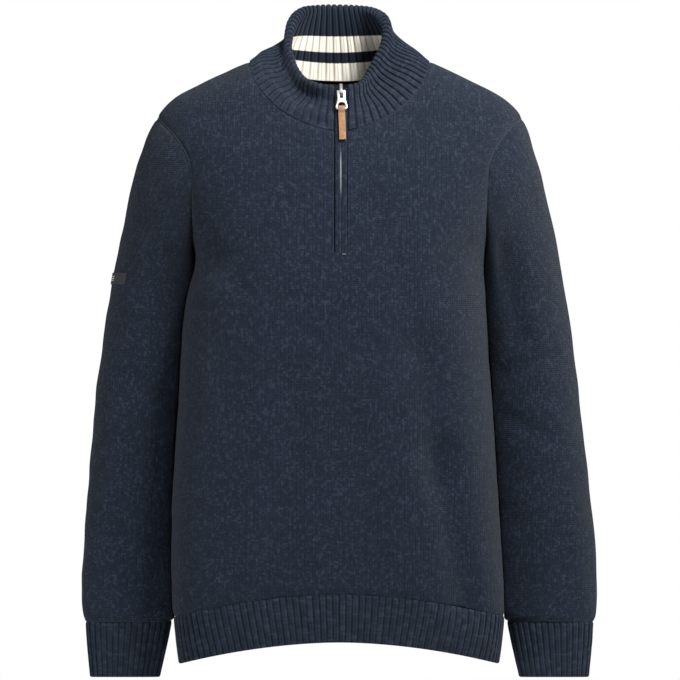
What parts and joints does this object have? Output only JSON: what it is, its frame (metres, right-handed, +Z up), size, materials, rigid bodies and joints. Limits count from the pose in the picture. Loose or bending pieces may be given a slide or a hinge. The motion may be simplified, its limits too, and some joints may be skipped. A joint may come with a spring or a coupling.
{
  "type": "quarter zip sweater",
  "caption": "Hollow knitted sweater as if worn, with long sleeves, ribbed cuffs and hem, a ribbed stand collar and a short front zip with a swinging pull.",
  "frame": {"origin": "in the middle of the neck, level with the high points of the shoulders, where the wearer's neck and shoulders hold the sweater up", "axes": "+Z up, +X towards the wearer's left sleeve, -Y out of the front"},
  "size_m": [0.6134, 0.2582, 0.801],
  "materials": {
    "knit": "plain stockinette knit, matt navy wool",
    "rib": "ribbed knit, matt navy wool",
    "tape": "woven zip tape",
    "metal": "polished nickel",
    "leather": "smooth tan leather with raw edges",
    "label": "black woven label",
    "neck_tape": "flecked brown woven tape"
  },
  "bodies": {
    "garment": {"front_panel": "knit", "back_panel": "knit", "sleeve_left": "knit", "sleeve_right": "knit", "cuff_left": "rib", "cuff_right": "rib", "hem_rib_front": "rib", "hem_rib_back": "rib", "collar": "rib", "placket_left": "knit", "placket_right": "knit", "zip_tape_left": "tape", "zip_tape_right": "tape", "zip_chain": "metal", "zip_slider": "metal", "sleeve_label": "label", "neck_tape": "neck_tape"},
    "pull": {"zip_pull": "metal", "pull_leather": "leather"}
  },
  "joints": [
    {"name": "pull_swing", "type": "hinge", "parent": "garment", "child": "pull", "pos_m": [0.0018, -0.08735, -0.03704], "axis": [-1, 0, 0], "range_deg": [0, 140]}
  ]
}
